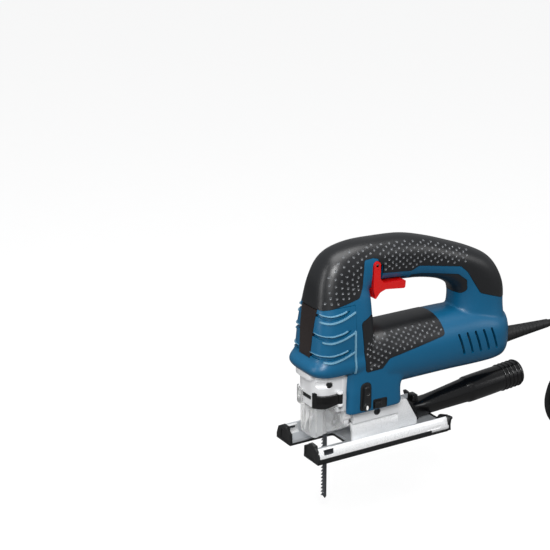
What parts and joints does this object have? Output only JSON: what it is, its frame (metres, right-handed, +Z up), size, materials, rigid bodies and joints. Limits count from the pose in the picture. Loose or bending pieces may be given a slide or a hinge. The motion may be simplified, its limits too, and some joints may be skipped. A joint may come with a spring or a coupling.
{
  "type": "corded orbital jigsaw",
  "caption": "Corded jigsaw with closed D-handle, orbital blade drive, bevelling foot with slide shoe, clear guard and dust tube.",
  "frame": {"origin": "middle of the slide shoe's underside, in the tool's middle plane", "axes": "-X towards the blade end, +X towards the cord end, -Y the tool's left side, +Z up, square to the sole"},
  "size_m": [0.4497, 0.1063, 0.2784],
  "materials": {
    "blue_nylon": "satin moulded",
    "grip_rubber": "matt, dotted",
    "black_plastic": "satin moulded",
    "gloss_black": "glossy moulded",
    "red_plastic": "glossy moulded",
    "silver_casting": "silver satin",
    "pressed_steel": "bright nickel",
    "steel": "ground",
    "dark_steel": "blackened",
    "bronze": "sintered",
    "copper": "bare",
    "brass": "bare",
    "carbon": "pressed",
    "board_green": "potted",
    "clear_plastic": "clear",
    "cord_sheath": "smooth sheath",
    "shoe_plastic": "satin moulded"
  },
  "bodies": {
    "housing": {"housing_left": "blue_nylon", "housing_right": "blue_nylon", "head_cover": "blue_nylon", "handle_grip": "grip_rubber", "motor_grip_left": "grip_rubber", "motor_grip_right": "grip_rubber", "nose_strip": "grip_rubber", "grip_inset": "grip_rubber", "gear_housing": "silver_casting", "bevel_saddle": "silver_casting", "bush_upper": "bronze", "bush_lower": "bronze", "bearing_front": "steel", "bearing_rear": "steel", "gear_axle": "steel", "stator": "copper", "brush_holders": "brass", "carbon_brushes": "carbon", "switch_body": "black_plastic", "speed_module": "board_green", "housing_screws": "dark_steel", "cord_sleeve": "cord_sheath", "bevel_screw": "dark_steel", "arm_pin": "steel", "trigger_pin": "steel", "lever_pin": "steel", "cord": "cord_sheath", "cord_coil": "cord_sheath", "cord_tie": "black_plastic", "plug": "cord_sheath"},
    "gear": {"drive_gear": "steel", "crank_pin": "steel", "crank_roller": "steel", "counterweight": "steel"},
    "armature": {"armature_shaft": "steel", "armature_core": "steel", "commutator": "copper", "fan": "black_plastic"},
    "plunger": {"plunger": "steel", "yoke": "steel", "blade_clamp": "dark_steel", "saw_blade": "dark_steel"},
    "roller_arm": {"roller_arm": "dark_steel", "roller_pin": "steel"},
    "guide_roller": {"guide_roller": "steel"},
    "release_lever": {"release_lever": "gloss_black"},
    "guard": {"guard": "clear_plastic"},
    "trigger": {"trigger": "red_plastic"},
    "lock_button": {"lock_button": "red_plastic"},
    "speed_dial": {"speed_dial": "black_plastic"},
    "orbital_lever": {"orbital_lever": "black_plastic"},
    "blower_slider": {"blower_slider": "black_plastic"},
    "foot": {"foot_plate": "pressed_steel", "bevel_arch": "pressed_steel", "slide_shoe": "shoe_plastic"},
    "dust_tube": {"dust_tube": "gloss_black"}
  },
  "joints": [
    {"name": "gear_turn", "type": "hinge", "parent": "housing", "child": "gear", "pos_m": [-0.032, 0, 0.1088], "axis": [1, 0, 0], "range_deg": [-90, 90]},
    {"name": "armature_turn", "type": "hinge", "parent": "housing", "child": "armature", "pos_m": [0, 0, 0.085], "axis": [1, 0, 0], "range_deg": [-540, 540]},
    {"name": "blade_stroke", "type": "slide", "parent": "housing", "child": "plunger", "axis": [0, 0, 1], "range_m": [-0.013, 0.013]},
    {"name": "orbit_swing", "type": "hinge", "parent": "housing", "child": "roller_arm", "pos_m": [-0.032, 0, 0.057], "axis": [0, 1, 0], "range_deg": [-3, 0], "stiffness_Nm_per_rad": 0.3},
    {"name": "guide_roller_turn", "type": "hinge", "parent": "roller_arm", "child": "guide_roller", "pos_m": [-0.03805, 0, 0.022], "axis": [0, 1, 0], "continuous": true},
    {"name": "blade_release", "type": "hinge", "parent": "housing", "child": "release_lever", "pos_m": [-0.0445, -0.0238, 0.0545], "axis": [0, 0, 1], "range_deg": [0, 75], "stiffness_Nm_per_rad": 0.05},
    {"name": "guard_slide", "type": "slide", "parent": "housing", "child": "guard", "axis": [-1, 0, 0], "range_m": [0, 0.006]},
    {"name": "trigger_pull", "type": "hinge", "parent": "housing", "child": "trigger", "pos_m": [-0.003, 0, 0.182], "axis": [0, -1, 0], "range_deg": [0, 6], "stiffness_Nm_per_rad": 2},
    {"name": "lock_press", "type": "slide", "parent": "housing", "child": "lock_button", "axis": [0, -1, 0], "range_m": [0, 0.003], "stiffness_N_per_m": 300},
    {"name": "speed_turn", "type": "hinge", "parent": "housing", "child": "speed_dial", "pos_m": [0.1545, 0, 0.106], "axis": [0, 1, 0], "range_deg": [0, 270]},
    {"name": "orbit_setting", "type": "hinge", "parent": "housing", "child": "orbital_lever", "pos_m": [-0.0195, -0.03, 0.0455], "axis": [0, 1, 0], "range_deg": [0, 45]},
    {"name": "blower_setting", "type": "slide", "parent": "housing", "child": "blower_slider", "axis": [1, 0, 0], "range_m": [0, 0.005]},
    {"name": "foot_bevel", "type": "hinge", "parent": "housing", "child": "foot", "pos_m": [0, 0, 0.011], "axis": [1, 0, 0], "range_deg": [-45, 45]},
    {"name": "dust_tube_slide", "type": "slide", "parent": "foot", "child": "dust_tube", "axis": [1, 0, 0], "range_m": [0, 0.03]}
  ],
  "couplings": [
    {"joint": "armature_turn", "follows": "gear_turn", "ratio": -6},
    {"joint": "blade_stroke", "follows": "gear_turn", "m_per_rad": 0.008276}
  ]
}
